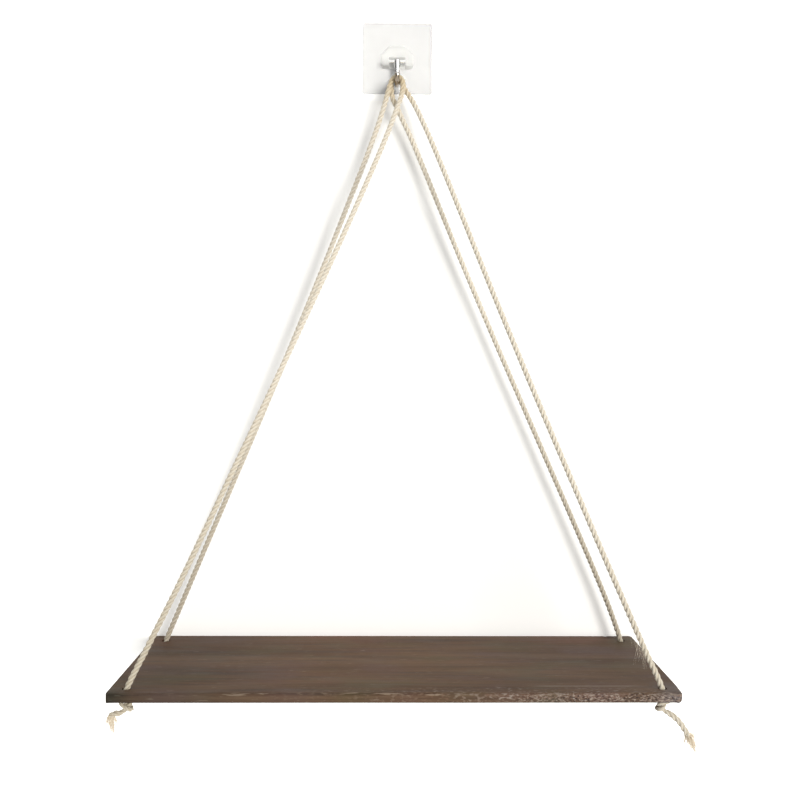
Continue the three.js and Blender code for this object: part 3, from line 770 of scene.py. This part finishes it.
def leg_places(start, along, side, row, bows):
    """A leg from near the hook down into its hole, with its sag as shares of its length."""
    middle = Vector((side * hole_x, hole_rows[row], board_top))
    lean = start - middle
    lean.z = 0
    mouth = middle + lean.normalized() * hole_lean
    length = (mouth - start).length
    places = [start.lerp(mouth, down) + Vector((side * bow * length, 0, 0)) for down, bow in bows]
    return [start, start + along * leg_lead, *places, mouth, middle - upright * board_thickness / 2]


def whole_route(side, seat_y, crossing, direct):
    """A whole rope, up its crossing leg, over the hook and down its direct leg, with the ends' knots.
    Each leg is given by its row of holes and its sag. Returns the rope's points and widths."""
    lean = math.atan2(hole_x, hook_low - board_top)
    turns = [math.pi + (lean - math.pi) * step / 16 for step in range(17)]
    bend = [Vector((side * seat_radius * math.cos(turn), seat_y, hook_low + seat_radius * math.sin(turn)))
            for turn in turns]
    aside = Vector((side * math.sin(lean), 0, -math.cos(lean)))
    up_leg = leg_places(bend[0] - upright * bend_end, -upright, side, *crossing)
    down_leg = leg_places(bend[-1] + aside * bend_end, aside, side, *direct)
    first_knot, first_tail = knot_and_tail(crossing[0], side)
    last_knot, last_tail = knot_and_tail(direct[0], side)
    points = smooth_line([*first_tail[::-1], *first_knot[::-1], *up_leg[::-1], *bend, *down_leg,
                          *last_knot, *last_tail], ring_step)
    knots = [Vector((side * hole_x, y, board_low - rope_gap - knot_half_height)) for y in hole_rows.values()]
    widths = []
    for point in points:
        reach = min((point - knot).length for knot in knots)
        inside = 1 - min(1, max(0, (reach - squeeze_start) / squeeze_fade))
        widths.append(1 - (1 - knot_squeeze) * inside)
    return points, widths


dull_flax, pale_flax = (0.72, 0.65, 0.52, 1), (0.86, 0.81, 0.7, 1)
hair_white, straw = (0.95, 0.92, 0.84), (0.56, 0.46, 0.33)
blotch_tan, painted_groove_shade = (0.6, 0.5, 0.36), (0.38, 0.29, 0.19)
rope_fibre, tree, shader = new_material("natural_rope")
uv = add(tree, "SeparateXYZ", {0: add(tree, "TexCoord").outputs["UV"]}).outputs
rope_turns = 92.0
fixed_turn = add(tree, "Math", {0: uv[0], 1: rope_turns, 2: uv[1]}, operation="MULTIPLY_ADD").outputs[0]


def wrapped(turn, length, radius, stretch):
    """A place round and along the rope that meets itself where the girth closes."""
    angle = add(tree, "Math", {0: turn, 1: math.tau}, operation="MULTIPLY").outputs[0]
    x = add(tree, "Math", {0: angle}, operation="COSINE").outputs[0]
    y = add(tree, "Math", {0: angle}, operation="SINE").outputs[0]
    flat = add(tree, "CombineXYZ", {0: x, 1: y, 2: length}).outputs[0]
    return add(tree, "Mapping", {"Vector": flat, "Scale": (radius, radius, stretch)}).outputs[0]


yarns = speckle(tree, wrapped(fixed_turn, uv[0], 5.5, 130), 1, 3)
hairs = speckle(tree, wrapped(fixed_turn, uv[0], 16, 420), 1, 2)
blotches = speckle(tree, wrapped(uv[1], uv[0], 1.2, 260), 1, 4)
# Painted shade in the grooves between the strands.
groove_shade_mask = add(tree, "Math", {0: uv[1], 1: math.tau * 3}, operation="MULTIPLY").outputs[0]
groove_shade_mask = add(tree, "Math", {0: groove_shade_mask}, operation="COSINE").outputs[0]
tone = mixed(tree, ranged(tree, yarns, 0.3, 0.7), dull_flax, pale_flax)
tone = layered(
    tree, tone,
    (ranged(tree, hairs, 0.55, 0.75, 0, 0.5), hair_white),
    (ranged(tree, hairs, 0.42, 0.3, 0, 0.5), straw),
    (ranged(tree, blotches, 0.5, 0.75, 0, 0.35), blotch_tan),
    (ranged(tree, groove_shade_mask, -0.35, -1, 0, 0.4), painted_groove_shade))
place = add(tree, "SeparateXYZ", {0: on_object(tree, (1, 1, 1))}).outputs
rear_leg_shade_mask = ranged(tree, place[1], -0.05, -0.03)
left_front = times(tree, ranged(tree, place[1], -0.03, -0.05), ranged(tree, place[0], -0.05, -0.1))
# Painted shade: the ropes are darkened and browned where they pass the hook, and the rear legs are darkened
# lower down. The ropes are also darker towards the bottom, and so is the left rope's front leg lower down.
tone = layered(
    tree, tone,
    (ranged(tree, place[2], -0.36, -0.47), (0.87, 0.86, 0.84)),
    (ranged(tree, place[2], -0.046, -0.026), (0.83, 0.76, 0.62)),
    (times(tree, rear_leg_shade_mask, ranged(tree, place[2], -0.2, -0.38)), (0.76, 0.745, 0.72)),
    (times(tree, left_front, ranged(tree, place[2], -0.25, -0.36)), (0.87, 0.86, 0.83)),
    blend_type="MULTIPLY")
put(tree, shader, Base_Color=tone, Roughness=ranged(tree, hairs, 0.3, 0.7, 0.8, 0.97),
    Specular_IOR_Level=0.15, Sheen_Weight=0.15,
    Normal=bumped(tree, mixed(tree, 0.4, yarns, hairs), 0.0006, 0.6))


def fibre_shape(name, fibres, width, sides=0):
    """Thin tapered fibres, each given by its points, as one shape."""
    data = bpy.data.curves.new(name, "CURVE")
    data.dimensions = "3D"
    data.bevel_depth = width / 2
    data.bevel_resolution = sides
    data.use_fill_caps = True
    for places in fibres:
        line = data.splines.new("POLY")
        line.points.add(len(places) - 1)
        for number, (point, place) in enumerate(zip(line.points, places)):
            point.co = (*place, 1)
            point.radius = 1 - 0.75 * number / (len(places) - 1)
    return curve_to_shape(data)


def fuzz(points, widths, count, chance):
    """Short stray fibres that stand off a rope."""
    fibres = []
    for _ in range(count):
        at = chance.randrange(4, len(points) - 12)
        along = (points[at + 3] - points[at - 3]).normalized()
        if chance.random() < 0.5:
            along = -along
        across = along.orthogonal().normalized()
        across.rotate(Matrix.Rotation(chance.uniform(0, math.tau), 3, along))
        reach = chance.uniform(0.0012, 0.0038)
        lift = chance.uniform(0.0003, 0.0011)
        start = points[at] + across * rope_width * 0.44 * widths[at]
        bend = across.cross(along) * chance.uniform(-0.0008, 0.0008)
        fibres.append([start, start + along * reach * 0.5 + across * lift * 0.45 + bend * 0.3,
                       start + along * reach + across * lift + bend])
    return fibres


whisker_low, whisker_high = -0.476, -0.452


def whiskers(points, count, chance):
    """Long loose hairs that hang from the inner side of a rope, some way above its hole."""
    near = [point for point in points if whisker_low < point.z < whisker_high]
    fibres = []
    for _ in range(count):
        start = chance.choice(near) + Vector((-rope_width * 0.35, -rope_width * 0.2, 0))
        fall = Vector((chance.uniform(-0.3, 0.15), chance.uniform(-0.25, 0.1), -1))
        fall *= chance.uniform(0.006, 0.017)
        bow = Vector((-chance.uniform(0, 0.0012), 0, 0))
        fibres.append([start, start + fall * 0.35 + bow, start + fall * 0.7 + bow, start + fall])
    return fibres


def tassel(points, count, chance, length, spread, lean):
    """The rope's cut end: long fibres in the middle hang as a thin lock, short outer ones stand off."""
    tip = points[-1]
    along = ((points[-1] - points[-3]).normalized() * 0.4 + Vector(lean).normalized() * 0.6).normalized()
    side = along.orthogonal().normalized()
    other = along.cross(side)
    fibres = []
    for number in range(count):
        distance = math.sqrt((number + 0.5) / count)
        turn = number * math.pi * (3 - math.sqrt(5))
        outwards = side * math.cos(turn) + other * math.sin(turn)
        start = tip + outwards * rope_width * 0.4 * distance - along * 0.0015
        short = number % 5 > 1
        reach = length * (chance.uniform(0.25, 0.6) if short else chance.uniform(0.6, 1))
        fan = spread * distance * (chance.uniform(0.4, 2.4) if short else chance.uniform(-0.5, 0.35))
        curl = (side * chance.uniform(-1, 1) + other * chance.uniform(-1, 1)) * reach * 0.14
        sag = Vector((0, 0, -1)) * reach * 0.12
        fibres.append([
            start,
            start + along * reach * 0.33 + outwards * fan * reach * 0.3,
            start + along * reach * 0.68 + outwards * fan * reach * 0.7 + curl * 0.6 + sag * 0.4,
            start + along * reach + outwards * fan * reach + curl + sag,
        ])
    return fibres


loose_fibre, tree, shader = new_material("loose_fibre")
strands = speckle(tree, on_object(tree, (1, 1, 1)), 900, 2)
tone = mixed(tree, ranged(tree, strands, 0.35, 0.65), (0.72, 0.6, 0.43, 1), (0.93, 0.86, 0.73, 1))
put(tree, shader, Base_Color=tone, Specular_IOR_Level=0.2,
    Roughness=ranged(tree, strands, 0.3, 0.7, 0.75, 0.95))


fuzz_count, whisker_count, fray_count = 1500, 34, 200
fuzz_width, fray_width = 0.00009, 0.0003


def add_rope(side, route, rows, seed, frays):
    """A rope with its loose fibres and its frayed ends. Its line starts at the first row's cut end."""
    points, widths = route
    name = "left" if side < 0 else "right"
    replaced = [f"{name}_rope_bend"]
    for row in rows:
        replaced += [f"{name}_rope_{row}_leg", f"{row}_{name}_knot", f"{row}_{name}_tail"]
    rope = add_piece(f"{name}_rope", rope_shape(name, points, widths), rope_fibre, "shelf",
                     replaced, 180)
    chance = random.Random(seed)
    hairs = fuzz(points, widths, fuzz_count, chance)
    if side > 0:
        front_points = [point for point in points if point.y < rear_hole_y * 3]
        hairs += whiskers(front_points, whisker_count, chance)
    hair = add_piece(f"{name}_rope_fuzz", fibre_shape("fuzz", hairs, fuzz_width), loose_fibre,
                     "shelf", None, 60)
    for row, line, (reach, spread, lean) in zip(rows, (points[::-1], points), frays):
        fibres = tassel(line, fray_count, chance, reach, spread, lean)
        add_piece(f"{name}_rope_{row}_fray", fibre_shape("fray", fibres, fray_width),
                              loose_fibre, "shelf", None, 60)


front_left_bows = (
    (0.01, -0.003), (0.02, -0.0046), (0.033, -0.0052), (0.05, -0.0067), (0.08, -0.0088), (0.14, -0.0109),
    (0.21, -0.0121), (0.29, -0.0126), (0.38, -0.0123), (0.48, -0.0114), (0.58, -0.0101), (0.68, -0.0086),
    (0.78, -0.0074), (0.87, -0.0052), (0.94, -0.002),
)
rear_left_bows = (
    (0.03, -0.0034), (0.08, -0.0072), (0.14, -0.009), (0.21, -0.0098), (0.29, -0.0107), (0.38, -0.0107),
    (0.48, -0.0098), (0.58, -0.0081), (0.68, -0.006), (0.78, -0.0038), (0.87, -0.0018), (0.94, -0.0006),
)
left_seat_y, left_seed = -0.0178, 11
left_route = whole_route(-1, left_seat_y, ("front", front_left_bows), ("rear", rear_left_bows))
add_rope(-1, left_route, ("front", "rear"), left_seed,
         ((0.0135, 0.5, (0.35, 0, -1)), (0.011, 0.5, (-0.3, 0, -1))))

# The right rope: it lies behind the left one in the hook. Its leg to the rear hole comes down on the left
# of the hook and crosses behind the left rope's front leg.
rear_right_bows = (
    (0.01, -0.003), (0.02, -0.0042), (0.033, -0.003), (0.05, -0.0025), (0.08, -0.0011), (0.14, -0.001),
    (0.21, -0.0016), (0.29, -0.0023), (0.38, -0.0021), (0.48, -0.0013), (0.58, 0.0004), (0.68, 0.0021),
    (0.78, 0.0039), (0.87, 0.0048), (0.94, 0.0041),
)
front_right_bows = (
    (0.03, 0.0046), (0.08, 0.0068), (0.14, 0.0066), (0.21, 0.0053), (0.29, 0.0033), (0.38, 0.0012),
    (0.48, -0.0003), (0.58, -0.0012), (0.68, -0.0014), (0.78, -0.0016), (0.87, -0.0013), (0.94, -0.0007),
)
right_seat_y, right_seed = -0.0127, 23
right_route = whole_route(1, right_seat_y, ("rear", rear_right_bows), ("front", front_right_bows))
add_rope(1, right_route, ("rear", "front"), right_seed,
         ((0.012, 0.5, (0.5, 0, -1)), (0.016, 0.5, (0.5, 0, -1))))
bpy.data.objects.remove(strand_section)
